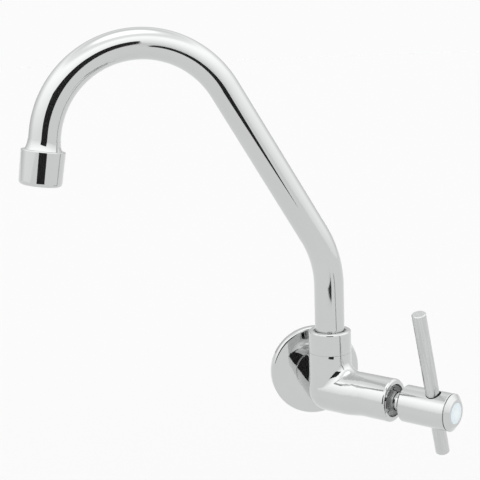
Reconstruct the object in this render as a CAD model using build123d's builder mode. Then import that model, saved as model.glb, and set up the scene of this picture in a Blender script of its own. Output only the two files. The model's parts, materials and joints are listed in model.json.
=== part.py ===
from build123d import *
import os
from math import ceil, cos, hypot, radians, sin, sqrt

# Wall-mounted kitchen tap: round wall flange, cast elbow body, swivel gooseneck spout with an aerator, and
# a quarter-turn ceramic valve worked by a bar handle. Millimetres and degrees.
# The wall is the plane Y = 0 and the room lies towards -Y. Z is up. The origin is on the inlet's axis.

# Layout
wall_to_spout = 45.0          # wall to the spout's swivel axis
handle_angle = 40.0           # from straight out of the wall to the valve arm, towards +X
spout_angle = 86.0            # from straight out of the wall to the spout at rest, towards -X
handle_tilt = 17.0            # lean of the bar from upright at rest, to the left as one faces the handle

# Wall flange
flange_od = 61.2
flange_tuck = 0.6             # the rim draws in by this where it meets the wall
flange_tuck_height = 1.0
flange_rim_height = 6.0       # wall plane to the outer end of the face
flange_edge_round = 2.0       # between the rim and the face
flange_face_rise = 0.9        # from the rim to the neck
flange_wall = 1.2

# Valve body
neck_od = 27.6                # where the flange sits
neck_length = 9.0             # wall plane to the start of the neck's swelling
neck_swell = 20.0             # length over which the neck grows to the elbow
elbow_od = 28.9               # cast bend between neck and arm, with its belly below
elbow_run = 14.5              # swivel axis to the end of the elbow, along the arm
elbow_fillet = 8.0            # inner side of the bend
arm_od = 27.4                 # turned end of the valve arm
arm_swell = 15.5              # length over which the elbow shrinks to the arm
swell_steps = 4               # spans in each of those transitions
upright_od = 27.6
upright_height = 24.5         # inlet axis to the joint with the spout nut
upright_ease = 3.0            # length of the slight taper that buffing leaves under that joint
upright_ease_depth = 0.18
upright_thread_od = 24.6
upright_thread_length = 10.0
socket_bore = 22.0
socket_depth = 24.0
arm_length = 48.5             # swivel axis to the open end of the valve arm
arm_edge_round = 1.8
body_fillet = 6.5             # between the upright and the elbow
fillet_land = 0.2             # plain wall of the upright that is left over that fillet, under the taper
inlet_bore = 13.0
inlet_thread_od = 20.955      # G 1/2
inlet_thread_pitch = 1.814
inlet_thread_depth = 1.162
inlet_thread_crest = 0.35     # width of the flat on each crest
inlet_thread_length = 14.0    # beyond the wall plane
neck_setback = 1.0            # end of the neck in front of the wall plane
seat_bore = 10.0
outlet_passage = 5.5          # drilled from the upright's socket to the valve chamber
passage_floor = 1.5           # metal between that passage and the seat bore

# Valve headwork
recess_bore = 21.0
recess_depth = 7.0            # open end of the arm to the face of the headwork's collar
collar_height = 3.0
hexagon_flats = 11.0
hexagon_height = 7.6
headwork_thread_od = 18.0
headwork_thread_length = 7.5
cartridge_length = 17.0       # below the collar
cage_od = 15.6
cage_bore = 12.6
guide_od = 9.6
window_width = 6.0
window_height = 3.0
seal_thickness = 1.5
seal_width = 2.7
disc_thickness = 2.5
disc_port = 3.6
disc_port_radius = 3.6
foot_thickness = 3.4
foot_width = 6.0

# Spindle
spindle_od = 7.6
spindle_square = 6.0
spindle_reach = 11.0          # into the hub
spindle_screw_depth = 9.0
circlip_thickness = 0.8
circlip_width = 2.0
circlip_gap = 2.4
circlip_clearance = 0.4       # to the hub
spindle_ring_section = 1.0
spindle_ring_spacing = 3.5

# Handle
hub_od = 23.2
hub_gap = 7.5                 # open end of the arm to the hub
hub_length = 32.0
hub_back_chamfer = 1.3
hub_boss_od = 12.0            # short boss on the hub's back, round the stem guide
hub_boss_length = 5.5
hub_counterbore_depth = 4.0
hub_web = 2.3                 # metal under the head of the handle screw
hub_bore = 8.4
joint_chamfer = 0.25          # edges on both sides of the line between hub and cap
joint_gap = 0.55              # open shadow line between them
joint_depth = 1.4             # of that line
bar_od = 8.6
bar_setback = 10.9            # front of the hub to the bar's axis
bar_long_end = 66.8           # hub axis to the upper end
bar_short_end = 31.5          # hub axis to the lower end
bar_chamfer = 0.5
bar_clearance = 0.5           # radial, in the hub's cross hole
cap_height = 3.3
cap_edge = 0.2
cap_face_od = 16.6
cap_spigot_od = 15.0
cap_spigot_wall = 1.8
cap_spigot_length = 3.0
index_od = 13.0
index_thickness = 1.4
index_dome = 0.4
screw_od = 4.0
screw_length = 9.0
screw_clearance = 0.15        # radial, in the hub's web
screw_head_od = 7.4
screw_head_height = 2.5
screw_socket = 3.0            # hexagon socket, across flats
screw_socket_depth = 1.4
lock_screw_socket = 4.0
lock_screw_socket_depth = 2.0

# Spout
tube_od = 19.05
tube_wall = 0.9
riser_height = 68.0           # inlet axis to the start of the first bend
first_bend_radius = 67.5
first_bend_angle = 30.5
incline_length = 108.6
hook_radius = 59.0
outlet_lean = 8.8             # of the outlet from straight down, away from the body
tube_tail = 8.0               # straight end after the hook
nut_od = 27.4
nut_lip = 1.7
nut_ring_gap = 0.9            # open ring round the tube
nut_edge_round = 1.4
shoulder_thickness = 1.6
slip_ring_thickness = 1.0
spigot_bore = 14.8
spigot_cup_depth = 6.0
spout_ring_section = 1.44
spout_ring_spacing = 7.0

# Outlet and aerator
neck_cup_depth = 4.0
neck_flare_length = 6.0
neck_flare_od = 22.2
neck_lip = 0.2                # edge of the flare over the tube
neck_thread_od = 21.4
neck_thread_length = 7.5
neck_bore = 15.0
housing_length = 21.0
housing_top_od = 26.4
housing_bottom_od = 25.6
housing_top_round = 0.8
housing_bottom_round = 2.4
housing_lip = 2.0
housing_mouth = 18.0
washer_thickness = 1.5
screen_thickness = 0.8
screen_hole = 1.3
screen_pitch = 2.1
insert_wall = 2.0
insert_plate = 2.0
insert_hole = 2.4
insert_hole_count = 12
insert_hole_radius = 6.2

# Fits
running_clearance = 0.08      # radial, shaft in its bore
turning_gap = 0.1             # between flat faces that turn against each other
free_clearance = 0.3          # radial, between curved faces that never meet
thread_clearance = 0.05       # radial, screwed and brazed joints
ring_proud = 0.04             # a seal ring stands this far out of its groove
groove_play = 0.3             # a seal groove is this much wider than its ring
seam_tolerance = 0.01         # for picking the edges where the upright meets the elbow


# Axes and planes that the pieces are built on
up = Vector(0, 0, 1)
swivel_point = Vector(0, -wall_to_spout, 0)
handle_dir = Vector(sin(radians(handle_angle)), -cos(radians(handle_angle)), 0)
handle_side = Vector(cos(radians(handle_angle)), sin(radians(handle_angle)), 0)
spout_dir = Vector(-sin(radians(spout_angle)), -cos(radians(spout_angle)), 0)
inlet_axis = Axis((0, 0, 0), (0, 1, 0))
swivel_axis = Axis(swivel_point, up)
handle_axis = Axis(swivel_point, handle_dir)
# Profile planes: local x runs outwards from the axis and local y runs along it
swivel_profile = Plane(origin=swivel_point, x_dir=(1, 0, 0), z_dir=(0, -1, 0))
handle_profile = Plane(origin=swivel_point, x_dir=up, z_dir=handle_side)
# Section planes: local z runs along the axis
inlet_section = Plane(origin=(0, 0, 0), x_dir=up, z_dir=(0, -1, 0))
swivel_section = Plane(origin=swivel_point, x_dir=(1, 0, 0), z_dir=up)
handle_section = Plane(origin=swivel_point, x_dir=up, z_dir=handle_dir)
# The spout's plane: local x runs out along the reach and local y is up
spout_plane = Plane(origin=swivel_point, x_dir=spout_dir, z_dir=spout_dir.cross(up))

os.makedirs("parts", exist_ok=True)


# Levels along the handle axis, from the swivel axis
collar_face = arm_length - recess_depth
collar_seat = collar_face - collar_height
hexagon_top = collar_face + hexagon_height
cartridge_foot = collar_seat - cartridge_length
valve_seat = cartridge_foot - seal_thickness
moving_disc_foot = cartridge_foot + disc_thickness + turning_gap
spindle_foot = moving_disc_foot + disc_thickness
spindle_shoulder = spindle_foot + foot_thickness
cage_roof = spindle_shoulder + turning_gap
hub_back = arm_length + hub_gap
hub_boss_back = hub_back - hub_boss_length
hub_front = hub_back + hub_length
hub_socket_foot = hub_back + hub_counterbore_depth
spindle_top = hub_back + spindle_reach
screw_web_foot = spindle_top + turning_gap
screw_seat = screw_web_foot + hub_web
bar_level = hub_front - bar_setback
circlip_foot = hub_socket_foot - circlip_clearance - circlip_thickness
guide_top = circlip_foot - turning_gap

# Levels along the swivel axis, from the inlet's axis
upright_top = upright_height + upright_thread_length
socket_floor = upright_top - socket_depth
shoulder_foot = upright_top + turning_gap
shoulder_top = shoulder_foot + shoulder_thickness
slip_ring_foot = shoulder_top + turning_gap
nut_lip_foot = slip_ring_foot + slip_ring_thickness
nut_top = nut_lip_foot + nut_lip
tube_foot = shoulder_top - spigot_cup_depth
spigot_foot = socket_floor + free_clearance


# valve_body: cast elbow from the wall to the valve arm, with the upright that carries the spout
elbow_drop = (elbow_od - arm_od) / 2
elbow_start = neck_length + neck_swell
arm_start = elbow_run + arm_swell
fillet_room = upright_height - upright_ease - fillet_land - arm_od / 2
passage_level = seat_bore / 2 + passage_floor + outlet_passage / 2
thread_root = inlet_thread_od / 2 - inlet_thread_depth
thread_count = int(inlet_thread_length / inlet_thread_pitch)
thread_flank = (inlet_thread_pitch - inlet_thread_crest) / 2


def eased(share):
    return share * share * (3 - 2 * share)


def on_upright(edge):
    middle = edge @ 0.5 - swivel_point
    return abs(hypot(middle.X, middle.Y) - upright_od / 2) < seam_tolerance


with BuildPart() as valve_body:
    # Two runs of the elbow with a ball at their corner
    with BuildSketch(inlet_section.offset(elbow_start)):
        with Locations((-elbow_drop, 0)):
            Circle(elbow_od / 2)
    extrude(amount=wall_to_spout - elbow_start)
    with BuildSketch(handle_section):
        with Locations((-elbow_drop, 0)):
            Circle(elbow_od / 2)
    extrude(amount=elbow_run)
    with Locations(swivel_point - up * elbow_drop):
        Sphere(elbow_od / 2)
    fillet(valve_body.edges().filter_by(GeomType.ELLIPSE), radius=elbow_fillet)
    # Neck and its swelling
    with BuildSketch(inlet_section.offset(neck_setback)):
        Circle(neck_od / 2)
    extrude(amount=neck_length - neck_setback)
    for step in range(swell_steps + 1):
        grown = eased(step / swell_steps)
        with BuildSketch(inlet_section.offset(neck_length + neck_swell * step / swell_steps)):
            with Locations((-elbow_drop * grown, 0)):
                Circle((neck_od + (elbow_od - neck_od) * grown) / 2)
    loft()
    # Swelling of the arm and its turned end
    for step in range(swell_steps + 1):
        grown = eased(1 - step / swell_steps)
        with BuildSketch(handle_section.offset(elbow_run + arm_swell * step / swell_steps)):
            with Locations((-elbow_drop * grown, 0)):
                Circle((arm_od + (elbow_od - arm_od) * grown) / 2)
    loft()
    with BuildSketch(handle_profile):
        with BuildLine():
            arm_side = Line((arm_od / 2, arm_start), (arm_od / 2, arm_length - arm_edge_round))
            arm_rim = TangentArc(arm_side @ 1, (arm_od / 2 - arm_edge_round, arm_length), tangent=(0, 1))
            Polyline(arm_rim @ 1, (0, arm_length), (0, arm_start), arm_side @ 0)
        make_face()
    revolve(axis=handle_axis)
    # Upright, blended into the elbow
    elbow_edges = valve_body.edges()
    with BuildSketch(swivel_profile):
        with BuildLine():
            Polyline(
                (0, 0),
                (upright_od / 2, 0),
                (upright_od / 2, upright_height - upright_ease),
                (upright_od / 2 - upright_ease_depth, upright_height),
                (0, upright_height),
                close=True,
            )
        make_face()
    revolve(axis=swivel_axis)
    seam = (valve_body.edges() - elbow_edges).filter_by(GeomType.BSPLINE).filter_by(on_upright)
    # The lowest edge comes first, so that every build gives the same faces
    fillet(seam.sort_by(Axis.Z), radius=min(body_fillet, fillet_room))
    with BuildSketch(swivel_section.offset(upright_height)):
        Circle(upright_thread_od / 2)
    extrude(amount=upright_thread_length)
    # Inlet shank: parallel pipe thread, drawn as rings
    with BuildSketch(Plane.XY):
        with BuildLine():
            outline = [(0, -neck_setback), (inlet_thread_od / 2, -neck_setback)]
            for turn in range(thread_count):
                crest = turn * inlet_thread_pitch
                outline += [
                    (inlet_thread_od / 2, crest),
                    (thread_root, crest + thread_flank),
                    (inlet_thread_od / 2, crest + thread_flank * 2),
                ]
            outline += [
                (inlet_thread_od / 2, thread_count * inlet_thread_pitch),
                (thread_root, inlet_thread_length),
                (0, inlet_thread_length),
            ]
            Polyline(*outline, close=True)
        make_face()
    revolve(axis=inlet_axis)
    # Waterway: inlet bore, seat bore, valve chamber, passage and spout socket
    with BuildSketch(Plane(origin=(0, inlet_thread_length, 0), z_dir=(0, -1, 0))):
        Circle(inlet_bore / 2)
    extrude(amount=inlet_thread_length + wall_to_spout, mode=Mode.SUBTRACT)
    with BuildSketch(handle_section):
        Circle(seat_bore / 2)
    extrude(amount=arm_length, mode=Mode.SUBTRACT)
    with BuildSketch(handle_section.offset(valve_seat)):
        Circle(headwork_thread_od / 2)
    extrude(amount=arm_length - valve_seat, mode=Mode.SUBTRACT)
    with BuildSketch(handle_section.offset(collar_seat)):
        Circle(recess_bore / 2)
    extrude(amount=arm_length - collar_seat, mode=Mode.SUBTRACT)
    with BuildSketch(handle_section):
        with Locations((passage_level, 0)):
            Circle(outlet_passage / 2)
    extrude(amount=valve_seat + outlet_passage, mode=Mode.SUBTRACT)
    with BuildSketch(swivel_section.offset(socket_floor)):
        Circle(socket_bore / 2)
    extrude(amount=socket_depth, mode=Mode.SUBTRACT)
valve_body.part.label = "valve_body"
export_step(valve_body.part, "parts/valve_body.step")


# wall_flange: rose with an upright rim and a nearly flat face, slides over the neck against the wall
flange_hole = neck_od / 2 + free_clearance / 2
flange_r = flange_od / 2
foot_r = flange_r - flange_tuck
face_top = flange_rim_height + flange_face_rise
with BuildPart() as wall_flange:
    with BuildSketch(Plane.XY):
        with BuildLine():
            rim = Line((flange_r, -flange_tuck_height), (flange_r, flange_edge_round - flange_rim_height))
            rim_edge = TangentArc(
                rim @ 1, (flange_r - flange_edge_round, -flange_rim_height), tangent=(0, -1)
            )
            Polyline(
                rim_edge @ 1,
                (flange_hole, -face_top),
                (flange_hole, -face_top + flange_wall),
                (foot_r - flange_wall, -flange_rim_height + flange_wall),
                (foot_r - flange_wall, 0),
                (foot_r, 0),
                rim @ 0,
            )
        make_face()
    revolve(axis=inlet_axis)
wall_flange.part.label = "wall_flange"
export_step(wall_flange.part, "parts/wall_flange.step")


# spout_nut: round collar screwed on the upright, holds the spout's spigot down
nut_hole = tube_od / 2 + nut_ring_gap
nut_thread_r = upright_thread_od / 2 + thread_clearance
with BuildPart() as spout_nut:
    with BuildSketch(swivel_profile):
        with BuildLine():
            Polyline(
                (nut_thread_r, upright_height),
                (nut_od / 2, upright_height),
                (nut_od / 2, nut_top),
                (nut_hole, nut_top),
                (nut_hole, nut_lip_foot),
                (nut_thread_r, nut_lip_foot),
                close=True,
            )
        make_face()
    revolve(axis=swivel_axis)
    fillet(spout_nut.edges().filter_by(GeomType.CIRCLE).group_by(Axis.Z)[-1].sort_by(SortBy.RADIUS)[-1],
           radius=nut_edge_round)
spout_nut.part.label = "spout_nut"
export_step(spout_nut.part, "parts/spout_nut.step")


# slip_ring: plastic washer under the nut's lip, on which the spigot's shoulder turns
with BuildPart() as slip_ring:
    with BuildSketch(swivel_section.offset(slip_ring_foot)):
        Circle(nut_thread_r - free_clearance)
        Circle(tube_od / 2 + free_clearance, mode=Mode.SUBTRACT)
    extrude(amount=slip_ring_thickness)
slip_ring.part.label = "slip_ring"
export_step(slip_ring.part, "parts/slip_ring.step")


# spout_spigot: turned sleeve brazed to the tube's foot, with two seal grooves
spigot_r = socket_bore / 2 - running_clearance
spout_groove_r = spigot_r + ring_proud - spout_ring_section
spout_groove_width = spout_ring_section + groove_play
spout_ring_low = (spigot_foot + tube_foot - spout_ring_spacing) / 2
spout_ring_levels = [spout_ring_low, spout_ring_low + spout_ring_spacing]
with BuildPart() as spout_spigot:
    with BuildSketch(swivel_profile):
        with BuildLine():
            Polyline(
                (spigot_bore / 2, spigot_foot),
                (spigot_r, spigot_foot),
                (spigot_r, shoulder_foot),
                (nut_thread_r - free_clearance, shoulder_foot),
                (nut_thread_r - free_clearance, shoulder_top),
                (tube_od / 2 + thread_clearance, shoulder_top),
                (tube_od / 2 + thread_clearance, tube_foot),
                (spigot_bore / 2, tube_foot),
                close=True,
            )
        make_face()
        with Locations(*[(spigot_r, level) for level in spout_ring_levels]):
            Rectangle((spigot_r - spout_groove_r) * 2, spout_groove_width, mode=Mode.SUBTRACT)
    revolve(axis=swivel_axis)
spout_spigot.part.label = "spout_spigot"
export_step(spout_spigot.part, "parts/spout_spigot.step")


# spout_o_rings: two rubber rings in the spigot's grooves
with BuildPart() as spout_o_rings:
    with BuildSketch(swivel_profile):
        with Locations(*[(spout_groove_r + spout_ring_section / 2, level) for level in spout_ring_levels]):
            Circle(spout_ring_section / 2)
    revolve(axis=swivel_axis)
spout_o_rings.part.label = "spout_o_rings"
export_step(spout_o_rings.part, "parts/spout_o_rings.step")


# spout_tube: riser, gentle bend, straight incline and gooseneck hook from one bent tube
with BuildPart() as spout_tube:
    with BuildLine(spout_plane):
        riser = Line((0, tube_foot), (0, riser_height))
        bend = JernArc(riser @ 1, riser % 1, first_bend_radius, -first_bend_angle)
        incline = Line(bend @ 1, bend @ 1 + (bend % 1) * incline_length)
        hook = JernArc(incline @ 1, incline % 1, hook_radius, -(180 - outlet_lean - first_bend_angle))
        tail = Line(hook @ 1, hook @ 1 + (hook % 1) * tube_tail)
    with BuildSketch(Plane(origin=riser @ 0, z_dir=riser % 0)):
        Circle(tube_od / 2)
        Circle(tube_od / 2 - tube_wall, mode=Mode.SUBTRACT)
    sweep()
spout_tube.part.label = "spout_tube"
export_step(spout_tube.part, "parts/spout_tube.step")


# Levels along the outlet axis, from the end of the tube
outlet_point = tail @ 1
outlet_dir = tail % 1
outlet_axis = Axis(outlet_point, outlet_dir)
outlet_side = spout_plane.z_dir.cross(outlet_dir)
outlet_profile = Plane(origin=outlet_point, x_dir=outlet_side, z_dir=outlet_side.cross(outlet_dir))
outlet_section = Plane(origin=outlet_point, x_dir=outlet_side, z_dir=outlet_dir)
neck_start = -neck_cup_depth
housing_top = neck_start + neck_flare_length
neck_end = housing_top + neck_thread_length
insert_top = neck_end + washer_thickness
housing_bottom = housing_top + housing_length
lip_level = housing_bottom - housing_lip
screen_level = lip_level - screen_thickness


# outlet_neck: flared brass end brazed on the tube, with the thread for the aerator
with BuildPart() as outlet_neck:
    with BuildSketch(outlet_profile):
        with BuildLine():
            flare = TangentArc(
                (tube_od / 2 + neck_lip, neck_start), (neck_flare_od / 2, housing_top), tangent=(0, 1)
            )
            Polyline(
                flare @ 1,
                (neck_thread_od / 2, housing_top),
                (neck_thread_od / 2, neck_end),
                (neck_bore / 2, neck_end),
                (neck_bore / 2, 0),
                (tube_od / 2 + thread_clearance, 0),
                (tube_od / 2 + thread_clearance, neck_start),
                flare @ 0,
            )
        make_face()
    revolve(axis=outlet_axis)
outlet_neck.part.label = "outlet_neck"
export_step(outlet_neck.part, "parts/outlet_neck.step")


# aerator_housing: chromed sleeve, slightly tapered, screwed on the neck
housing_bore = neck_thread_od / 2 + thread_clearance
with BuildPart() as aerator_housing:
    with BuildSketch(outlet_profile):
        with BuildLine():
            Polyline(
                (housing_bore, housing_top),
                (housing_top_od / 2, housing_top),
                (housing_bottom_od / 2, housing_bottom),
                (housing_mouth / 2, housing_bottom),
                (housing_mouth / 2, lip_level),
                (housing_bore, lip_level),
                close=True,
            )
        make_face()
    revolve(axis=outlet_axis)
    end_rims = aerator_housing.edges().filter_by(GeomType.CIRCLE).group_by(outlet_axis)
    fillet(end_rims[0].sort_by(SortBy.RADIUS)[-1], radius=housing_top_round)
    fillet(end_rims[-1].sort_by(SortBy.RADIUS)[-1], radius=housing_bottom_round)
aerator_housing.part.label = "aerator_housing"
export_step(aerator_housing.part, "parts/aerator_housing.step")


# aerator_washer: rubber ring clamped between the neck and the insert
with BuildPart() as aerator_washer:
    with BuildSketch(outlet_section.offset(neck_end)):
        Circle(neck_thread_od / 2)
        Circle(neck_bore / 2, mode=Mode.SUBTRACT)
    extrude(amount=washer_thickness)
aerator_washer.part.label = "aerator_washer"
export_step(aerator_washer.part, "parts/aerator_washer.step")


# aerator_insert: plastic cup whose drilled plate breaks the stream into jets
insert_r = housing_bore - thread_clearance
with BuildPart() as aerator_insert:
    with BuildSketch(outlet_section.offset(insert_top)):
        Circle(insert_r)
        Circle(insert_r - insert_wall, mode=Mode.SUBTRACT)
    extrude(amount=screen_level - insert_top)
    with BuildSketch(outlet_section.offset(insert_top)):
        Circle(insert_r)
        with PolarLocations(insert_hole_radius, insert_hole_count):
            Circle(insert_hole / 2, mode=Mode.SUBTRACT)
    extrude(amount=insert_plate)
aerator_insert.part.label = "aerator_insert"
export_step(aerator_insert.part, "parts/aerator_insert.step")


# aerator_screen: perforated plate that rests on the housing's lip, holes in a triangular pattern
row_step = screen_pitch * sqrt(3) / 2
screen_reach = housing_mouth / 2 - screen_hole / 2
row_limit = int(screen_reach / row_step)
column_limit = ceil(screen_reach / screen_pitch)
screen_holes = []
for row in range(-row_limit, row_limit + 1):
    for column in range(-column_limit, column_limit + 1):
        hole_x = (column + (row % 2) / 2) * screen_pitch
        hole_y = row * row_step
        if sqrt(hole_x**2 + hole_y**2) < screen_reach:
            screen_holes.append((hole_x, hole_y))
with BuildPart() as aerator_screen:
    with BuildSketch(outlet_section.offset(screen_level)):
        Circle(insert_r)
        with Locations(*screen_holes):
            Circle(screen_hole / 2, mode=Mode.SUBTRACT)
    extrude(amount=screen_thickness)
aerator_screen.part.label = "aerator_screen"
export_step(aerator_screen.part, "parts/aerator_screen.step")


# headwork_body: plated brass valve body with its cage for the discs, thread, collar, hexagon and stem guide
headwork_thread_r = headwork_thread_od / 2 - thread_clearance
guide_bore = spindle_od / 2 + running_clearance
thread_foot = collar_seat - headwork_thread_length
collar_r = recess_bore / 2 - free_clearance
headwork_ring_section = (headwork_thread_od - cage_od) / 2
headwork_groove_r = headwork_thread_od / 2 - headwork_ring_section
headwork_groove_depth = headwork_thread_r - headwork_groove_r
headwork_groove_width = headwork_ring_section + groove_play
headwork_ring_level = collar_seat - headwork_groove_width
window_foot = cage_roof - window_height
with BuildPart() as headwork_body:
    with BuildSketch(handle_profile):
        with BuildLine():
            Polyline(
                (cage_bore / 2, cartridge_foot),
                (cage_od / 2, cartridge_foot),
                (cage_od / 2, thread_foot),
                (headwork_thread_r, thread_foot),
                (headwork_thread_r, collar_seat),
                (collar_r, collar_seat),
                (collar_r, collar_face),
                (guide_od / 2, collar_face),
                (guide_od / 2, guide_top),
                (guide_bore, guide_top),
                (guide_bore, cage_roof),
                (cage_bore / 2, cage_roof),
                close=True,
            )
        make_face()
        with Locations((headwork_thread_r, headwork_ring_level)):
            Rectangle(headwork_groove_depth * 2, headwork_groove_width, mode=Mode.SUBTRACT)
    revolve(axis=handle_axis)
    with BuildSketch(handle_section.offset(collar_face)):
        RegularPolygon(hexagon_flats / 2, 6, major_radius=False)
        Circle(guide_bore, mode=Mode.SUBTRACT)
    extrude(amount=hexagon_height)
    with BuildSketch(handle_section.offset(window_foot)):
        Rectangle(cage_od * 2, window_width)
        Circle(guide_bore, mode=Mode.SUBTRACT)
    extrude(amount=window_height, mode=Mode.SUBTRACT)
headwork_body.part.label = "headwork_body"
export_step(headwork_body.part, "parts/headwork_body.step")


# headwork_o_ring: rubber ring that seals the headwork in the arm
headwork_ring_r = headwork_groove_r + headwork_ring_section / 2 - thread_clearance / 2
with BuildPart() as headwork_o_ring:
    with BuildSketch(handle_profile):
        with Locations((headwork_ring_r, headwork_ring_level)):
            Circle(headwork_ring_section / 2 - thread_clearance / 2)
    revolve(axis=handle_axis)
headwork_o_ring.part.label = "headwork_o_ring"
export_step(headwork_o_ring.part, "parts/headwork_o_ring.step")


# seat_seal: rubber ring pressed between the cage and the seat in the body
with BuildPart() as seat_seal:
    with BuildSketch(handle_section.offset(valve_seat)):
        Circle(cage_od / 2)
        Circle(cage_od / 2 - seal_width, mode=Mode.SUBTRACT)
    extrude(amount=seal_thickness)
seat_seal.part.label = "seat_seal"
export_step(seat_seal.part, "parts/seat_seal.step")


# fixed_disc: ceramic disc with two ports, held in the cage
with BuildPart() as fixed_disc:
    with BuildSketch(handle_section.offset(cartridge_foot)):
        Circle(cage_bore / 2 - thread_clearance)
        with PolarLocations(disc_port_radius, 2):
            Circle(disc_port / 2, mode=Mode.SUBTRACT)
    extrude(amount=disc_thickness)
fixed_disc.part.label = "fixed_disc"
export_step(fixed_disc.part, "parts/fixed_disc.step")


# moving_disc: ceramic disc whose ports stand a quarter turn away from the fixed ones while the tap is shut
with BuildPart() as moving_disc:
    with BuildSketch(handle_section.offset(moving_disc_foot)):
        Circle(cage_bore / 2 - free_clearance)
        with PolarLocations(disc_port_radius, 2, start_angle=90):
            Circle(disc_port / 2, mode=Mode.SUBTRACT)
    extrude(amount=disc_thickness)
moving_disc.part.label = "moving_disc"
export_step(moving_disc.part, "parts/moving_disc.step")


# spindle: stem with a foot that drives the moving disc, seal grooves, clip groove and a square for the hub
spindle_r = spindle_od / 2
spindle_groove_r = guide_bore - running_clearance / 2 - spindle_ring_section
spindle_groove_width = spindle_ring_section + groove_play
spindle_ring_mid = (cage_roof + hexagon_top) / 2
spindle_ring_levels = [spindle_ring_mid + side * spindle_ring_spacing / 2 for side in (-1, 1)]
spindle_ring_r = spindle_groove_r + spindle_ring_section / 2
circlip_groove_r = spindle_r - circlip_thickness
with BuildPart() as spindle:
    with BuildSketch(handle_section.offset(spindle_foot)):
        Circle(cage_bore / 2 - free_clearance)
        Rectangle(foot_width, cage_bore, mode=Mode.INTERSECT)
    extrude(amount=foot_thickness)
    with BuildSketch(handle_profile):
        with Locations((spindle_r / 2, (spindle_shoulder + hub_socket_foot) / 2)):
            Rectangle(spindle_r, hub_socket_foot - spindle_shoulder)
        with Locations(*[(spindle_r, level) for level in spindle_ring_levels]):
            Rectangle((spindle_r - spindle_groove_r) * 2, spindle_groove_width, mode=Mode.SUBTRACT)
        with Locations((spindle_r, circlip_foot + circlip_thickness / 2)):
            Rectangle(circlip_thickness * 2, circlip_thickness + turning_gap, mode=Mode.SUBTRACT)
    revolve(axis=handle_axis)
    with BuildSketch(handle_section.offset(hub_socket_foot)):
        Rectangle(spindle_square, spindle_square)
        Circle(spindle_r, mode=Mode.INTERSECT)
    extrude(amount=spindle_top - hub_socket_foot)
    with BuildSketch(handle_section.offset(spindle_top - spindle_screw_depth)):
        Circle(screw_od / 2 + thread_clearance)
    extrude(amount=spindle_screw_depth, mode=Mode.SUBTRACT)
spindle.part.label = "spindle"
export_step(spindle.part, "parts/spindle.step")


# spindle_o_rings: two rubber rings on the stem
with BuildPart() as spindle_o_rings:
    with BuildSketch(handle_profile):
        with Locations(*[(spindle_ring_r, level) for level in spindle_ring_levels]):
            Circle(spindle_ring_section / 2)
    revolve(axis=handle_axis)
spindle_o_rings.part.label = "spindle_o_rings"
export_step(spindle_o_rings.part, "parts/spindle_o_rings.step")


# spindle_circlip: open spring ring that stops the stem from sliding into the guide
with BuildPart() as spindle_circlip:
    with BuildSketch(handle_section.offset(circlip_foot)):
        Circle(circlip_groove_r + circlip_width)
        Circle(circlip_groove_r + thread_clearance, mode=Mode.SUBTRACT)
        with Locations((circlip_groove_r + circlip_width, 0)):
            Rectangle(circlip_width * 3, circlip_gap, mode=Mode.SUBTRACT)
    extrude(amount=circlip_thickness)
spindle_circlip.part.label = "spindle_circlip"
export_step(spindle_circlip.part, "parts/spindle_circlip.step")


# Bar: its axis crosses the hub's axis and leans from upright
bar_dir = up * cos(radians(handle_tilt)) - handle_side * sin(radians(handle_tilt))
bar_point = swivel_point + handle_dir * bar_level
bar_section = Plane(origin=bar_point, x_dir=handle_dir, z_dir=bar_dir)
# The lock screw presses the bar against the back of its hole, so the hole's axis lies further out
bar_hole_point = bar_point + handle_dir * (bar_clearance - thread_clearance)
bar_hole_section = Plane(origin=bar_hole_point, x_dir=handle_dir, z_dir=bar_dir)


# handle_hub: turned cylinder, squared on the stem, cross-bored for the bar
cap_recess = hub_front - cap_spigot_length
hub_socket_side = spindle_square + thread_clearance * 2
with BuildPart() as handle_hub:
    with BuildSketch(handle_profile):
        with BuildLine():
            Polyline(
                (0, hub_boss_back),
                (hub_boss_od / 2, hub_boss_back),
                (hub_boss_od / 2, hub_back),
                (hub_od / 2 - hub_back_chamfer, hub_back),
                (hub_od / 2, hub_back + hub_back_chamfer),
                (hub_od / 2, hub_front - joint_chamfer),
                (hub_od / 2 - joint_chamfer, hub_front),
                (0, hub_front),
                close=True,
            )
        make_face()
    revolve(axis=handle_axis)
    with BuildSketch(handle_section.offset(hub_boss_back)):
        Circle(guide_od / 2 + free_clearance)
    extrude(amount=hub_boss_length + hub_counterbore_depth, mode=Mode.SUBTRACT)
    with BuildSketch(handle_section.offset(hub_socket_foot)):
        Rectangle(hub_socket_side, hub_socket_side)
        Circle(spindle_r + thread_clearance, mode=Mode.INTERSECT)
    extrude(amount=screw_web_foot - hub_socket_foot, mode=Mode.SUBTRACT)
    with BuildSketch(handle_section.offset(screw_web_foot)):
        Circle(screw_od / 2 + screw_clearance)
    extrude(amount=hub_web, mode=Mode.SUBTRACT)
    with BuildSketch(handle_section.offset(screw_seat)):
        Circle(hub_bore / 2)
    extrude(amount=hub_front - screw_seat, mode=Mode.SUBTRACT)
    with BuildSketch(handle_section.offset(cap_recess)):
        Circle(cap_spigot_od / 2 + thread_clearance)
    extrude(amount=cap_spigot_length, mode=Mode.SUBTRACT)
    with BuildSketch(bar_hole_section):
        Circle(bar_od / 2 + bar_clearance)
    extrude(amount=hub_od, both=True, mode=Mode.SUBTRACT)
handle_hub.part.label = "handle_hub"
export_step(handle_hub.part, "parts/handle_hub.step")


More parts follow.
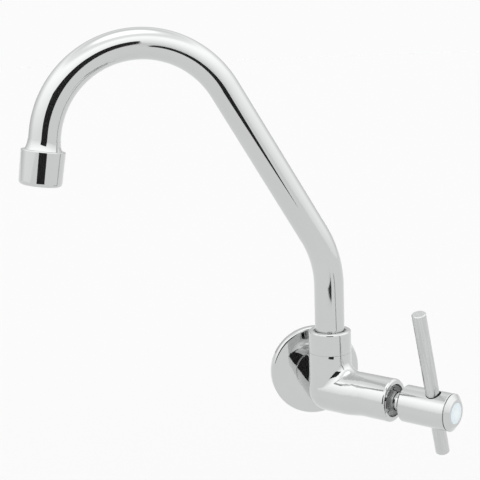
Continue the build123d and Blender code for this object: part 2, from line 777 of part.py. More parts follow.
# handle_screw: socket head screw that holds the hub on the stem
with BuildPart() as handle_screw:
    with BuildSketch(handle_section.offset(screw_seat - screw_length)):
        Circle(screw_od / 2)
    extrude(amount=screw_length)
    with BuildSketch(handle_section.offset(screw_seat)):
        Circle(screw_head_od / 2)
    extrude(amount=screw_head_height)
    with BuildSketch(handle_section.offset(screw_seat + screw_head_height - screw_socket_depth)):
        RegularPolygon(screw_socket / 2, 6, major_radius=False)
    extrude(amount=screw_socket_depth, mode=Mode.SUBTRACT)
handle_screw.part.label = "handle_screw"
export_step(handle_screw.part, "parts/handle_screw.step")


# handle_bar: straight rod through the hub
with BuildPart() as handle_bar:
    with BuildSketch(bar_section.offset(-bar_short_end)):
        Circle(bar_od / 2)
    extrude(amount=bar_short_end + bar_long_end)
    chamfer(handle_bar.edges().filter_by(GeomType.CIRCLE), length=bar_chamfer)
handle_bar.part.label = "handle_bar"
export_step(handle_bar.part, "parts/handle_bar.step")


# bar_lock_screw: socket set screw that presses on the bar
lock_screw_foot = bar_level + bar_od / 2 + thread_clearance
with BuildPart() as bar_lock_screw:
    with BuildSketch(handle_section.offset(lock_screw_foot)):
        Circle(hub_bore / 2 - thread_clearance)
    extrude(amount=cap_recess - lock_screw_foot)
    with BuildSketch(handle_section.offset(cap_recess - lock_screw_socket_depth)):
        RegularPolygon(lock_screw_socket / 2, 6, major_radius=False)
    extrude(amount=lock_screw_socket_depth, mode=Mode.SUBTRACT)
bar_lock_screw.part.label = "bar_lock_screw"
export_step(bar_lock_screw.part, "parts/bar_lock_screw.step")


# handle_cap: bevelled ring that plugs the hub and frames the index disc
cap_front = hub_front + cap_height
index_seat = cap_front - index_thickness
with BuildPart() as handle_cap:
    with BuildSketch(handle_profile):
        with BuildLine():
            Polyline(
                (0, hub_front),
                (cap_spigot_od / 2 - cap_spigot_wall, hub_front),
                (cap_spigot_od / 2 - cap_spigot_wall, cap_recess),
                (cap_spigot_od / 2, cap_recess),
                (cap_spigot_od / 2, hub_front),
                (hub_od / 2 - joint_depth, hub_front),
                (hub_od / 2 - joint_depth, hub_front + joint_gap),
                (hub_od / 2 - joint_chamfer, hub_front + joint_gap),
                (hub_od / 2, hub_front + joint_gap + joint_chamfer),
                (hub_od / 2, hub_front + joint_gap + joint_chamfer + cap_edge),
                (cap_face_od / 2, cap_front),
                (index_od / 2 + thread_clearance, cap_front),
                (index_od / 2 + thread_clearance, index_seat),
                (0, index_seat),
                close=True,
            )
        make_face()
    revolve(axis=handle_axis)
handle_cap.part.label = "handle_cap"
export_step(handle_cap.part, "parts/handle_cap.step")


# index_disc: white plastic disc with a slightly domed face, glued in the cap
with BuildPart() as index_disc:
    with BuildSketch(handle_profile):
        with BuildLine():
            base = Polyline((0, cap_front + index_dome), (0, index_seat), (index_od / 2, index_seat),
                            (index_od / 2, cap_front))
            TangentArc(base @ 0, base @ 1, tangent=(1, 0))
        make_face()
    revolve(axis=handle_axis)
index_disc.part.label = "index_disc"
export_step(index_disc.part, "parts/index_disc.step")
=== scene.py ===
import json
from math import acos, asin, cos, pi, radians, sin, tan

import bpy
from mathutils import Matrix, Vector

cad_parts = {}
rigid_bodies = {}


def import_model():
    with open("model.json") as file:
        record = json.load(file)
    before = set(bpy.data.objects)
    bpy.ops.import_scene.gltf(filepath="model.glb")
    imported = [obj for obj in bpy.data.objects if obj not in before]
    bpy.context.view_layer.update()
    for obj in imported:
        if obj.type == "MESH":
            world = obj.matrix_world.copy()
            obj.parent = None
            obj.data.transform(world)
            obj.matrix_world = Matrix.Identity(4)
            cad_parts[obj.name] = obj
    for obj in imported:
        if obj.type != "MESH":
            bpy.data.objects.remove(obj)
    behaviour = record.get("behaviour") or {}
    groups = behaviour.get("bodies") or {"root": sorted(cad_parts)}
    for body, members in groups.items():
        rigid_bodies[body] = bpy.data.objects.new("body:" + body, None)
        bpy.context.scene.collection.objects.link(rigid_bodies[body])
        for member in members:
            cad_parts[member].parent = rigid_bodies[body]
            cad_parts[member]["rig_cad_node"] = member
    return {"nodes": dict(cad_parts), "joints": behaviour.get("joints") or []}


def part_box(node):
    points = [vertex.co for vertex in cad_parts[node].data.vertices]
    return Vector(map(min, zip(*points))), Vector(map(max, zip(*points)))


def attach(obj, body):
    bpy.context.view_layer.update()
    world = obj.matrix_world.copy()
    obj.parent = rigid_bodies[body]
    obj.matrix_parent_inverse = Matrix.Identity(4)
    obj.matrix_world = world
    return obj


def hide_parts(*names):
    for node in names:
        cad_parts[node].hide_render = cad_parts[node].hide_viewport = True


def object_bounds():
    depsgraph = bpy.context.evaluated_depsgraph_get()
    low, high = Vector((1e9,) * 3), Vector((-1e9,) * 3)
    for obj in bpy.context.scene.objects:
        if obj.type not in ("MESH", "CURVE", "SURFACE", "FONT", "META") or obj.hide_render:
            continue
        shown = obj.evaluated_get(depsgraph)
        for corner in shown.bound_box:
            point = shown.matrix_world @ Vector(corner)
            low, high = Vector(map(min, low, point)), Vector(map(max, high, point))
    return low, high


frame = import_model()
cad_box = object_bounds()


# Valve body: a brass casting, turned and threaded at its ends, then ground, buffed and chrome plated.
# It screws into the wall fitting and carries the flange, the valve and the spout.
MM = 0.001                    # sizes are in millimetres, and meshes in metres
WELD = 0.001 * MM             # points nearer than this are joined
FACE_LEAD = 80                # how strongly large faces lead the shading of their neighbours
CHROME_TONES = ("#C7C8C8", "#CDCECE")
CHROME_DULLNESS = (0.03, 0.065)
SMEAR_SPAN = (0.35, 0.75)     # values of the smears over which the mirror dulls
joint = {j["name"]: j for j in frame["joints"]}
swivel_point = Vector(joint["spout_swivel"]["pos_m"])
handle_dir = Vector(joint["handle_turn"]["axis"])


def linear(hex_colour):
    """Linear values of an sRGB hex colour."""
    channels = [int(hex_colour[i:i + 2], 16) / 255 for i in (1, 3, 5)]
    return [c / 12.92 if c <= 0.04045 else ((c + 0.055) / 1.055) ** 2.4 for c in channels] + [1.0]


def add_node(tree, kind, settings=None, links=None):
    """A node with its settings, and links from (node, output) to its inputs."""
    node = tree.nodes.new(kind)
    for name, value in (settings or {}).items():
        if isinstance(name, str) and hasattr(node, name):
            setattr(node, name, value)
        else:
            node.inputs[name].default_value = value
    for name, (source, output) in (links or {}).items():
        tree.links.new(source.outputs[output], node.inputs[name])
    return node


def surface(name, metallic):
    """A new material, with its node tree and its shader."""
    material = bpy.data.materials.new(name)
    material.use_nodes = True
    shader = material.node_tree.nodes["Principled BSDF"]
    shader.inputs["Metallic"].default_value = metallic
    return material, material.node_tree, shader


def uneven_finish(tree, shader, pattern, tones, span, roughness, relief, height_mm):
    """Lets a pattern drive the tone of a surface and, over a span of its values, how dull it is. A second
    pattern, or the same one, drives its relief."""
    dark, light = tones
    tone = add_node(tree, "ShaderNodeMix", {"data_type": "RGBA", 6: linear(dark), 7: linear(light)},
                    {0: (pattern, "Fac")})
    tree.links.new(tone.outputs[2], shader.inputs["Base Color"])
    dullness = add_node(tree, "ShaderNodeMapRange", {"From Min": span[0], "From Max": span[1],
                                                     "To Min": roughness[0], "To Max": roughness[1]},
                        {"Value": (pattern, "Fac")})
    tree.links.new(dullness.outputs[0], shader.inputs["Roughness"])
    bump = add_node(tree, "ShaderNodeBump", {"Strength": 1.0, "Distance": height_mm * MM},
                    {"Height": (relief, "Fac")})
    tree.links.new(bump.outputs[0], shader.inputs["Normal"])


def polished_chrome(name, ripple_mm, ripple_height_mm, smear_mm):
    """Chrome plate on buffed brass: a neutral grey mirror. The buffing leaves soft ripples, and wiping leaves
    faint smears that dull the mirror a little."""
    material, tree, shader = surface(name, metallic=1.0)
    place = add_node(tree, "ShaderNodeTexCoord")
    smears = add_node(tree, "ShaderNodeTexNoise", {"Scale": 1 / (smear_mm * MM), "Detail": 4.0},
                      {"Vector": (place, "Object")})
    ripples = add_node(tree, "ShaderNodeTexNoise", {"Scale": 1 / (ripple_mm * MM), "Detail": 1.0},
                       {"Vector": (place, "Object")})
    uneven_finish(tree, shader, smears, CHROME_TONES, SMEAR_SPAN, CHROME_DULLNESS, ripples, ripple_height_mm)
    return material


def merged_copy(node, name):
    """A copy of a solid's mesh as a piece of its own, with its loose triangles joined."""
    bpy.ops.object.select_all(action="DESELECT")
    frame["nodes"][node].select_set(True)
    bpy.context.view_layer.objects.active = frame["nodes"][node]
    bpy.ops.object.duplicate()
    piece = bpy.context.object
    piece.name = name
    piece.parent = None
    del piece["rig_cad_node"]
    piece.data.materials.clear()
    bpy.ops.mesh.customdata_custom_splitnormals_clear()
    bpy.ops.object.mode_set(mode="EDIT")
    bpy.ops.mesh.select_all(action="SELECT")
    bpy.ops.mesh.remove_doubles(threshold=WELD)
    bpy.ops.object.mode_set(mode="OBJECT")
    return piece


def smooth_faces(piece, sharp_angle=30):
    """Smooth shading that breaks at sharp edges, led by the large faces so that they stay true."""
    bpy.ops.object.select_all(action="DESELECT")
    piece.select_set(True)
    bpy.context.view_layer.objects.active = piece
    bpy.ops.object.shade_smooth_by_angle(angle=radians(sharp_angle))
    true_faces = piece.modifiers.new("true_faces", "WEIGHTED_NORMAL")
    true_faces.keep_sharp = True
    true_faces.weight = FACE_LEAD
    bpy.ops.object.modifier_apply(modifier=true_faces.name)


# Buffed by hand on a casting: short ripples, on which the reflections waver.
cast_chrome = polished_chrome("cast_chrome", ripple_mm=9, ripple_height_mm=0.006, smear_mm=22)
body = merged_copy("valve_body", "valve_body_cast")
smooth_faces(body)
body.data.materials.append(cast_chrome)
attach(body, "root")
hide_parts("valve_body")


# Wall flange: a round rose of brass with a rounded rim and a nearly flat face, turned, buffed and chrome
# plated. It slides along the neck against the wall and hides the hole there.
FLANGE_RADIUS = 30.6
FLANGE_TUCK = (0.6, 1.0)      # the rim draws in by the first at the wall, from the second level down
FLANGE_TUCK_ROUND = 0.6
FLANGE_RIM = 6.0              # level of the face at its outer end
FLANGE_RIM_ROUND = 2.0
FLANGE_HOLE = 13.95           # radius round the neck
FLANGE_HOLE_ROUND = 0.3
FLANGE_TOP = 6.9              # level of the face at the neck
FLANGE_WALL = 1.2
FLANGE_SHARP = 20             # edges over this angle stay sharp
INLET = Vector((0, 0, 0))
ROOM = Vector((0, -1, 0))     # straight out of the wall


def along(origin, direction):
    """Places a piece turned round local Z on an axis of the tap."""
    return Matrix.Translation(origin) @ direction.to_track_quat("Z", "Y").to_matrix().to_4x4()


def rounded(corners, steps=8):
    """Outline through (radius, level) corners, each with an optional third value that rounds it."""
    points = []
    for i, corner in enumerate(corners):
        here = Vector(corner[:2])
        if len(corner) < 3:
            points.append(here)
            continue
        back = (Vector(corners[i - 1][:2]) - here).normalized()
        ahead = (Vector(corners[(i + 1) % len(corners)][:2]) - here).normalized()
        half = acos(max(-1, min(1, back.dot(ahead)))) / 2
        centre = here + (back + ahead).normalized() * corner[2] / sin(half)
        first = here + back * corner[2] / tan(half) - centre
        last = here + ahead * corner[2] / tan(half) - centre
        swing = first.angle_signed(last)
        for step in range(steps + 1):
            turn = -swing * step / steps
            points.append(centre + Matrix.Rotation(turn, 2) @ first)
    return points


def turned(name, rings, place, sides=128):
    """Lathe work: a circle is extruded through (radius, level) rings in millimetres, and closed."""
    bpy.ops.object.select_all(action="DESELECT")
    radius, level = rings[0]
    bpy.ops.mesh.primitive_circle_add(vertices=sides, radius=radius * MM)
    piece = bpy.context.object
    piece.name = name
    bpy.ops.object.mode_set(mode="EDIT")
    bpy.ops.mesh.select_all(action="SELECT")
    bpy.ops.transform.translate(value=(0, 0, level * MM))
    for next_radius, next_level in [*rings[1:], rings[0]]:
        rise = (0, 0, (next_level - level) * MM)
        bpy.ops.mesh.extrude_region_move(TRANSFORM_OT_translate={"value": rise})
        growth = next_radius / radius
        bpy.ops.transform.resize(value=(growth, growth, 1), center_override=(0, 0, next_level * MM))
        radius, level = next_radius, next_level
    bpy.ops.mesh.select_all(action="SELECT")
    bpy.ops.mesh.remove_doubles(threshold=WELD)
    bpy.ops.mesh.normals_make_consistent(inside=False)
    bpy.ops.object.mode_set(mode="OBJECT")
    piece.matrix_world = place
    bpy.ops.object.transform_apply(location=True, rotation=True, scale=True)
    return piece


flange_foot = FLANGE_RADIUS - FLANGE_TUCK[0]
flange_inside = flange_foot - FLANGE_WALL
flange_rings = rounded([
    (flange_inside, 0),
    (flange_foot, 0),
    (FLANGE_RADIUS, FLANGE_TUCK[1], FLANGE_TUCK_ROUND),
    (FLANGE_RADIUS, FLANGE_RIM, FLANGE_RIM_ROUND),
    (FLANGE_HOLE, FLANGE_TOP, FLANGE_HOLE_ROUND),
    (FLANGE_HOLE, FLANGE_TOP - FLANGE_WALL),
    (flange_inside, FLANGE_RIM - FLANGE_WALL),
], steps=16)
flange = turned("wall_flange_rose", flange_rings, along(INLET, ROOM), sides=160)
smooth_faces(flange, FLANGE_SHARP)
flange.data.materials.append(cast_chrome)
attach(flange, "root")
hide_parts("wall_flange")


# Spout tube: one drawn brass tube, bent twice on a mandrel, polished along its length and chrome plated.
# Its foot is brazed into the spigot and its end into the outlet's neck.
TUBE_RADIUS = 19.05 / 2
TUBE_WALL = 0.9
TUBE_SIDES = 112
RISER_TOP = 68.0              # level at which the first bend starts
FIRST_BEND = (67.5, 30.5)     # radius and turn
INCLINE = 108.6               # straight length between the bends
HOOK = (59.0, 140.7)          # radius and turn
TAIL = 8.0                    # straight length after the hook
SPOUT_ANGLE = radians(86.0)   # from straight out of the wall, to the left
spout_dir = Vector((-sin(SPOUT_ANGLE), -cos(SPOUT_ANGLE), 0))
spout_frame = Matrix.Translation(swivel_point) @ Matrix((
    (spout_dir.x, -spout_dir.y, 0, 0),
    (spout_dir.y, spout_dir.x, 0, 0),
    (0, 0, 1, 0),
    (0, 0, 0, 1),
))


def heading(turn):
    """Direction in the spout's plane after a turn from upright towards the reach, in degrees."""
    return Vector((sin(radians(turn)), 0, cos(radians(turn))))


def run(start, turn, length, steps=8):
    """Extrudes the tube's open end straight on, and returns where it ends."""
    step = heading(turn) * length * MM / steps
    for _ in range(steps):
        bpy.ops.mesh.extrude_region_move(TRANSFORM_OT_translate={"value": step})
    return start + heading(turn) * length


def bend(start, turn, radius, angle, step_angle=2.0):
    """Spins the tube's open end round a bend, and returns where it ends."""
    centre = start + heading(turn + 90) * radius
    steps = round(angle / step_angle)
    bpy.ops.mesh.spin(steps=steps, angle=radians(angle), center=centre * MM, axis=(0, -1, 0))
    return centre - heading(turn + 90 + angle) * radius


tube_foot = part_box("spout_tube")[0].z / MM
bpy.ops.object.select_all(action="DESELECT")
bpy.ops.mesh.primitive_circle_add(vertices=TUBE_SIDES, radius=TUBE_RADIUS * MM)
tube = bpy.context.object
tube.name = "spout_tube_bent"
bpy.ops.object.mode_set(mode="EDIT")
bpy.ops.mesh.select_all(action="SELECT")
bpy.ops.transform.translate(value=(0, 0, tube_foot * MM))
tube_end = run(Vector((0, 0, tube_foot)), 0, RISER_TOP - tube_foot)
tube_end = bend(tube_end, 0, *FIRST_BEND)
tube_end = run(tube_end, FIRST_BEND[1], INCLINE)
tube_end = bend(tube_end, FIRST_BEND[1], *HOOK)
outlet_turn = FIRST_BEND[1] + HOOK[1]
tube_end = run(tube_end, outlet_turn, TAIL, steps=2)
bpy.ops.mesh.select_all(action="SELECT")
bpy.ops.mesh.remove_doubles(threshold=WELD)
bpy.ops.mesh.normals_make_consistent(inside=False)
bpy.ops.object.mode_set(mode="OBJECT")
wall = tube.modifiers.new("wall", "SOLIDIFY")
wall.thickness = TUBE_WALL * MM
wall.offset = -1
bpy.ops.object.modifier_apply(modifier=wall.name)
tube.matrix_world = spout_frame
bpy.ops.object.transform_apply(location=True, rotation=True, scale=True)
smooth_faces(tube)
# Polished on drawn or turned stock: long, flat ripples, so that the reflections run clean.
tube_chrome = polished_chrome("tube_chrome", ripple_mm=30, ripple_height_mm=0.004, smear_mm=40)
tube.data.materials.append(tube_chrome)
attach(tube, "spout")
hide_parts("spout_tube")


# Spout nut: a round collar turned from brass bar and chrome plated. It screws down on the upright and holds
# the spigot, with an open ring round the tube.
NUT_RADIUS = 13.7
NUT_THREAD = 12.35            # radius inside
NUT_HOLE = TUBE_RADIUS + 0.9  # leaves the open ring
NUT_LIP = 1.7                 # thickness of its top
NUT_FOOT_ROUNDS = (0.2, 0.25)  # inside and outside
NUT_TOP_ROUNDS = (1.4, 0.8)   # outside and at the hole
NUT_LIP_ROUND = 0.2
UP = Vector((0, 0, 1))
nut_low, nut_high = (corner.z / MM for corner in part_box("spout_nut"))
nut_rings = rounded([
    (NUT_THREAD, nut_low, NUT_FOOT_ROUNDS[0]),
    (NUT_RADIUS, nut_low, NUT_FOOT_ROUNDS[1]),
    (NUT_RADIUS, nut_high, NUT_TOP_ROUNDS[0]),
    (NUT_HOLE, nut_high, NUT_TOP_ROUNDS[1]),
    (NUT_HOLE, nut_high - NUT_LIP, NUT_LIP_ROUND),
    (NUT_THREAD, nut_high - NUT_LIP),
])
nut = turned("spout_nut_collar", nut_rings, along(swivel_point, UP))
smooth_faces(nut)
nut.data.materials.append(tube_chrome)
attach(nut, "root")
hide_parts("spout_nut")


# Outlet neck: a brass end turned with a flare, brazed on the tube, polished over the joint and chrome plated.
# Its thread takes the aerator.
NECK_LIP = 0.2                # edge of the flare over the tube
NECK_START = -4.0             # from the end of the tube
NECK_FLARE = (11.1, 6.0)      # radius at its foot, and length
NECK_THREAD = (10.7, 7.5)     # radius and length
NECK_BORE = 7.5
NECK_CUP = TUBE_RADIUS + 0.05  # radius of the seat for the tube
FLARE_STEPS = 12
outlet_point = spout_frame @ (tube_end * MM)
outlet_dir = (spout_frame.to_3x3() @ heading(outlet_turn)).normalized()
outlet = along(outlet_point, outlet_dir)
flare_top = TUBE_RADIUS + NECK_LIP
flare_spread = NECK_FLARE[0] - flare_top
flare_radius = (flare_spread ** 2 + NECK_FLARE[1] ** 2) / (2 * flare_spread)
flare_swing = asin(NECK_FLARE[1] / flare_radius)
flare = []
for step in range(FLARE_STEPS + 1):
    swing = flare_swing * step / FLARE_STEPS
    flare.append((flare_top + flare_radius * (1 - cos(swing)), NECK_START + flare_radius * sin(swing)))
housing_top = NECK_START + NECK_FLARE[1]
neck_end = housing_top + NECK_THREAD[1]
neck_rings = [
    *flare,
    (NECK_THREAD[0], housing_top),
    (NECK_THREAD[0], neck_end),
    (NECK_BORE, neck_end),
    (NECK_BORE, 0),
    (NECK_CUP, 0),
    (NECK_CUP, NECK_START),
]
neck = turned("outlet_neck_flare", neck_rings, outlet)
smooth_faces(neck)
neck.data.materials.append(tube_chrome)
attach(neck, "spout")
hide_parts("outlet_neck")


# Aerator housing: a slightly tapered sleeve turned from brass and chrome plated. It screws on the neck and
# holds the washer, the insert and the screen.
HOUSING_LENGTH = 21.0
HOUSING_RADII = (13.2, 12.8)  # top and bottom
HOUSING_BORE = 10.75
HOUSING_MOUTH = 9.0           # radius inside the lip
HOUSING_LIP = 2.0             # thickness of the lip
HOUSING_TOP_ROUNDS = (0.2, 0.8)  # inside and outside
HOUSING_FOOT_ROUNDS = (2.4, 0.4)  # outside and at the mouth
housing_bottom = housing_top + HOUSING_LENGTH
housing_rings = rounded([
    (HOUSING_BORE, housing_top, HOUSING_TOP_ROUNDS[0]),
    (HOUSING_RADII[0], housing_top, HOUSING_TOP_ROUNDS[1]),
    (HOUSING_RADII[1], housing_bottom, HOUSING_FOOT_ROUNDS[0]),
    (HOUSING_MOUTH, housing_bottom, HOUSING_FOOT_ROUNDS[1]),
    (HOUSING_MOUTH, housing_bottom - HOUSING_LIP),
    (HOUSING_BORE, housing_bottom - HOUSING_LIP),
])
housing = turned("aerator_housing_sleeve", housing_rings, outlet)
smooth_faces(housing)
housing.data.materials.append(tube_chrome)
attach(housing, "spout")
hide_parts("aerator_housing")


# Spout spigot: a sleeve turned from brass bar and left unplated, brazed to the foot of the tube. It turns in
# the socket of the body. Its turning rings give it a soft yellow sheen.
PATTERN_SPAN = (0.3, 0.7)     # values of marks and mottles over which a surface dulls


def worked_metal(name, tones, direction, along_mm, across_mm, roughness, depth_mm):
    """Metal with the marks of the tool that worked it last: streaks along a direction, or thin rings across
    it. They are drawn coarser than real ones so that they show."""
    material, tree, shader = surface(name, metallic=1.0)
    place = add_node(tree, "ShaderNodeTexCoord")
    lay = add_node(tree, "ShaderNodeMapping", {
        "vector_type": "TEXTURE", "Rotation": direction.to_track_quat("Z", "Y").to_euler(),
        "Scale": (across_mm * MM, across_mm * MM, along_mm * MM)}, {"Vector": (place, "Object")})
    marks = add_node(tree, "ShaderNodeTexNoise", {"Scale": 1.0, "Detail": 3.0}, {"Vector": (lay, 0)})
    uneven_finish(tree, shader, marks, tones, PATTERN_SPAN, roughness, marks, depth_mm)
    return material


def finish_node(node, material):
    """Gives a CAD node that stays as it is a material of its own."""
    mesh = frame["nodes"][node].data
    mesh.materials.clear()
    mesh.materials.append(material)


finish_node("spout_spigot", worked_metal(
    "spigot_brass", ("#B8944E", "#CFAE68"), UP, along_mm=0.25, across_mm=30, roughness=(0.25, 0.4),
    depth_mm=0.004))


# Spout rings: two rings of nitrile rubber, moulded, greased and seated in the spigot's grooves. They seal the
# spout in its socket, and the grease gives their black a dull shine.
def moulded(name, tones, mottle_mm, roughness, depth_mm):
    """Moulded or pressed stuff with a fine mottle in its tone and its surface."""
    material, tree, shader = surface(name, metallic=0.0)
    place = add_node(tree, "ShaderNodeTexCoord")
    mottle = add_node(tree, "ShaderNodeTexNoise", {"Scale": 1 / (mottle_mm * MM), "Detail": 3.0},
                      {"Vector": (place, "Object")})
    uneven_finish(tree, shader, mottle, tones, PATTERN_SPAN, roughness, mottle, depth_mm)
    return material


ring_rubber = moulded(
    "ring_rubber", ("#141414", "#222222"), mottle_mm=0.8, roughness=(0.35, 0.55), depth_mm=0.01)
finish_node("spout_o_rings", ring_rubber)


# Slip ring: a washer punched from white acetal sheet, with the waxy look of that plastic. The spigot's
# shoulder turns on it under the nut.
acetal = moulded("acetal", ("#E4E5E2", "#F0F0ED"), mottle_mm=1.5, roughness=(0.3, 0.45), depth_mm=0.006)
finish_node("slip_ring", acetal)


# Aerator washer: a flat ring cut from grey-black rubber sheet, which is matt and a little dusty. It is
# pressed between the neck and the insert.
finish_node("aerator_washer", moulded(
    "sheet_rubber", ("#1B1B1B", "#2C2C2C"), mottle_mm=0.5, roughness=(0.6, 0.8), depth_mm=0.02))


# Aerator insert: a cup moulded in the same white acetal, with a ring of jets. It lies in the housing, on the
# screen.
finish_node("aerator_insert", acetal)


# Aerator screen: a disc of stainless sheet with punched holes, held by the lip of the housing. Rolling leaves
# fine streaks on it and a grey sheen.
finish_node("aerator_screen", worked_metal(
    "rolled_stainless", ("#A6A8A8", "#BCBDBC"), spout_dir, along_mm=6, across_mm=0.2, roughness=(0.25, 0.4),
    depth_mm=0.003))


# Seat seal: a ring of nitrile rubber, moulded like the spout's rings. It is pressed between the headwork and
# the seat in the body.
finish_node("seat_seal", ring_rubber)


# Fixed disc: sintered alumina with two ports, lapped flat and polished to an ivory gloss. It is keyed in the
# headwork's cage.
alumina = moulded("alumina", ("#EAE6DA", "#F4F1E8"), mottle_mm=0.6, roughness=(0.12, 0.22), depth_mm=0.001)
finish_node("fixed_disc", alumina)


# Moving disc: the same ceramic, lapped to lie against the fixed disc. The foot of the spindle drives it
# round, to open and shut the ports.
finish_node("moving_disc", alumina)


# Spindle: a brass stem turned and milled, with a foot for the disc and a square for the hub. It is unplated,
# with the yellow sheen of turned brass.
finish_node("spindle", worked_metal(
    "spindle_brass", ("#B08C48", "#CBA962"), handle_dir, along_mm=0.2, across_mm=30, roughness=(0.22, 0.38),
    depth_mm=0.004))


# Spindle rings: two rings of nitrile rubber, moulded and greased like the spout's. They seal the stem in the
# headwork's guide.
finish_node("spindle_o_rings", ring_rubber)


# Headwork: a brass valve insert turned and milled, screwed into the arm by its hexagon. Its guide reaches
# into the back of the hub. The plate over its turning rings is dull and mirrors nothing clearly. Its pale
# tone is partly painted light: it is paler than the plate, to lift the shade in the recess of the arm.
finish_node("headwork_body", worked_metal(
    "dull_plate", ("#D2D3D2", "#E4E5E4"), handle_dir, along_mm=0.3, across_mm=30, roughness=(0.45, 0.6),
    depth_mm=0.006))


# Headwork ring: a ring of nitrile rubber, moulded like the others. It lies in a groove of the headwork and
# seals it in the arm.
finish_node("headwork_o_ring", ring_rubber)


# Spindle clip: an open ring punched from spring steel, a darker grey than the screws. It snaps into its
# groove over the headwork's guide.
finish_node("spindle_circlip", worked_metal(
    "clip_steel", ("#8F9192", "#A9ABAB"), handle_dir, along_mm=8, across_mm=0.3, roughness=(0.3, 0.45),
    depth_mm=0.003))


# Handle hub: a cylinder turned from brass bar, cross-bored for the bar, and chrome plated. It sits on the
# square of the spindle and is held by the screw inside.
hub = merged_copy("handle_hub", "handle_hub_turned")
smooth_faces(hub)
hub.data.materials.append(tube_chrome)
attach(hub, "handle")
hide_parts("handle_hub")


# Handle screw: a stainless socket screw with a turned, bright head. It goes down the middle of the hub, into
# the end of the spindle.
screw_steel = worked_metal(
    "screw_steel", ("#9EA0A0", "#B7B9B9"), handle_dir, along_mm=0.4, across_mm=10, roughness=(0.22, 0.35),
    depth_mm=0.003)
finish_node("handle_screw", screw_steel)


# Handle bar: a straight brass rod, drawn through emery along its length and satin chrome plated, so that it
# has fine lengthwise streaks. It passes through the hub and is locked there by the set screw.
BAR_TILT = radians(17.0)      # from upright, to the left as one faces the handle
handle_side = Vector((-handle_dir.y, handle_dir.x, 0))
bar_dir = UP * cos(BAR_TILT) - handle_side * sin(BAR_TILT)
bar = merged_copy("handle_bar", "handle_bar_rod")
smooth_faces(bar)
bar.data.materials.append(worked_metal(
    "satin_chrome", ("#B0B1B1", "#DCDDDD"), bar_dir, along_mm=22, across_mm=0.7, roughness=(0.18, 0.32),
    depth_mm=0.006))
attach(bar, "handle")
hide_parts("handle_bar")


# Bar lock screw: a stainless set screw in the front of the hub, under the cap. It presses the bar to the back
# of its hole.
finish_node("bar_lock_screw", screw_steel)


# Handle cap: a bevelled ring turned from brass and chrome plated, pressed into the front of the hub. It
# frames the index disc.
cap = merged_copy("handle_cap", "handle_cap_ring")
smooth_faces(cap)
cap.data.materials.append(tube_chrome)
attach(cap, "handle")
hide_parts("handle_cap")


# Index disc: a plain glossy disc moulded in white plastic and glued into the cap. The white takes a faint
# blue tint towards its edge.
DISC_FRONT = 91.7             # swivel axis to the crown of the disc
DISC_TONES = ("#E7EEF0", "#D6E4E9")  # middle and edge
DISC_FADE = (1.5, 6.5)        # the tint comes in between these radii
DISC_HAZE = 1.2               # size of the faint haze in its gloss
DISC_DULLNESS = (0.12, 0.24)
index_white, tree, shader = surface("index_white", metallic=0.0)
place = add_node(tree, "ShaderNodeTexCoord")
crown = swivel_point + handle_dir * DISC_FRONT * MM
spread = add_node(tree, "ShaderNodeVectorMath", {"operation": "DISTANCE", 1: crown}, {0: (place, "Object")})
edge = add_node(tree, "ShaderNodeMapRange", {"From Min": DISC_FADE[0] * MM, "From Max": DISC_FADE[1] * MM},
                {"Value": (spread, "Value")})
tone = add_node(tree, "ShaderNodeMix",
                {"data_type": "RGBA", 6: linear(DISC_TONES[0]), 7: linear(DISC_TONES[1])}, {0: (edge, 0)})
tree.links.new(tone.outputs[2], shader.inputs["Base Color"])
haze = add_node(tree, "ShaderNodeTexNoise", {"Scale": 1 / (DISC_HAZE * MM), "Detail": 3.0},
                {"Vector": (place, "Object")})
dullness = add_node(tree, "ShaderNodeMapRange", {"To Min": DISC_DULLNESS[0], "To Max": DISC_DULLNESS[1]},
                    {"Value": (haze, "Fac")})
tree.links.new(dullness.outputs[0], shader.inputs["Roughness"])
finish_node("index_disc", index_white)


# Studio: a white floor, the white cloth of a light tent and the dark opening that the camera looks through.
# Only reflections show the opening: it makes the black bands along the tube. Lengths here are metres.
FLOOR_SIZE = 40
FLOOR_DROP = 0.13             # under the lowest point of the tap
OPENING_PLACE = (-0.206, -0.74, 0.1545)
OPENING_SIZE = (0.508, 0.521)
# Level of the cloth by elevation in degrees, with the lamp over its top.
TENT = ((-10, 0.97), (4, 1.15), (16, 1.33), (28, 1.5), (40, 1.62),
        (47, 1.58), (54, 1.28), (62, 1.2), (68, 1.35), (74, 1.85))
TENT_TOP = 2.0                # level at which the ramp is full
REAR = (0.1, 0.95)            # the cloth darkens between these shares of the way to the rear
REAR_LEVEL = 0.55
PLAIN_LEVEL = 1.0             # of the light on matt surfaces
BACKDROP_LEVEL = 0.965        # as the camera sees it, as bright as the lit floor
CAMERA_PLACE = Vector((-0.1788, -0.7126, 0.2254))
CAMERA_AZIMUTH, CAMERA_ELEVATION, CAMERA_ROLL = radians(-10.34), radians(10.35), radians(-1.89)
CAMERA_LENS = 82.5            # millimetres, like the sensor
CAMERA_SENSOR = 36


def matt(name, colour, specular):
    """Paint or cloth without gloss, in one even colour."""
    material, _, shader = surface(name, metallic=0.0)
    shader.inputs["Base Color"].default_value = linear(colour)
    shader.inputs["Roughness"].default_value = 1.0
    shader.inputs["Specular IOR Level"].default_value = specular
    return material


bpy.ops.object.select_all(action="DESELECT")
bpy.ops.mesh.primitive_plane_add(size=FLOOR_SIZE, location=(0, 0, cad_box[0].z - FLOOR_DROP))
floor = bpy.context.object
floor.name = "floor"
floor.data.materials.append(matt("floor_paint", "#F3F3F3", specular=0.0))

bpy.ops.mesh.primitive_plane_add(size=1, location=OPENING_PLACE, rotation=(pi / 2, 0, 0))
opening = bpy.context.object
opening.name = "tent_opening"
opening.scale = (*OPENING_SIZE, 1)
opening.visible_camera = False
opening.visible_diffuse = False
opening.visible_shadow = False
opening.data.materials.append(matt("dark_room", "#202020", specular=0.5))

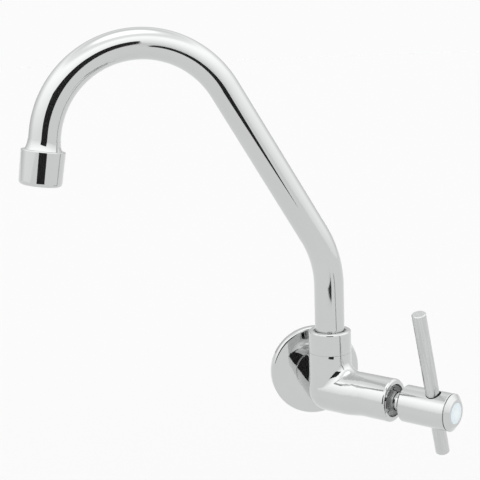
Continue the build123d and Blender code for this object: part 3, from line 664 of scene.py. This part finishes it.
world = bpy.data.worlds.new("light_tent")
bpy.context.scene.world = world
world.use_nodes = True
tree = world.node_tree
tree.nodes.clear()
place = add_node(tree, "ShaderNodeTexCoord")
way = add_node(tree, "ShaderNodeSeparateXYZ", {}, {0: (place, "Generated")})
height = add_node(tree, "ShaderNodeMapRange", {"From Min": -1.0, "From Max": 1.0}, {"Value": (way, "Z")})
ramp = add_node(tree, "ShaderNodeValToRGB", {}, {0: (height, 0)})
while len(ramp.color_ramp.elements) < len(TENT):
    ramp.color_ramp.elements.new(1.0)
for stop, (elevation, level) in zip(ramp.color_ramp.elements, TENT):
    stop.position = (sin(radians(elevation)) + 1) / 2
    stop.color = [level / TENT_TOP] * 3 + [1]
roof = add_node(tree, "ShaderNodeMath", {"operation": "MULTIPLY", 1: TENT_TOP}, {0: (ramp, 0)})
rear = add_node(tree, "ShaderNodeMapRange", {"From Min": REAR[0], "From Max": REAR[1], "To Min": 1.0,
                                             "To Max": REAR_LEVEL}, {"Value": (way, "Y")})
tent = add_node(tree, "ShaderNodeMath", {"operation": "MULTIPLY"}, {0: (roof, 0), 1: (rear, 0)})
ray = add_node(tree, "ShaderNodeLightPath")
lit = add_node(tree, "ShaderNodeMix", {"data_type": "FLOAT", 3: PLAIN_LEVEL},
               {0: (ray, "Is Diffuse Ray"), 2: (tent, 0)})
seen = add_node(tree, "ShaderNodeMix", {"data_type": "FLOAT", 3: BACKDROP_LEVEL},
                {0: (ray, "Is Camera Ray"), 2: (lit, 0)})
white = add_node(tree, "ShaderNodeBackground", {"Color": (1, 1, 1, 1)}, {"Strength": (seen, 0)})
add_node(tree, "ShaderNodeOutputWorld", {}, {"Surface": (white, 0)})

camera_data = bpy.data.cameras.new("camera")
camera_data.lens = CAMERA_LENS
camera_data.sensor_width = CAMERA_SENSOR
camera = bpy.data.objects.new("camera", camera_data)
bpy.context.scene.collection.objects.link(camera)
flat = cos(CAMERA_ELEVATION)
back = Vector((sin(CAMERA_AZIMUTH) * flat, -cos(CAMERA_AZIMUTH) * flat, sin(CAMERA_ELEVATION)))
right = Vector((cos(CAMERA_AZIMUTH), sin(CAMERA_AZIMUTH), 0))
right = Matrix.Rotation(CAMERA_ROLL, 3, back) @ right
up = back.cross(right)
turn = Matrix((right, up, back)).transposed().to_4x4()
camera.matrix_world = Matrix.Translation(CAMERA_PLACE) @ turn
bpy.context.scene.camera = camera
bpy.context.scene.view_settings.view_transform = "Standard"
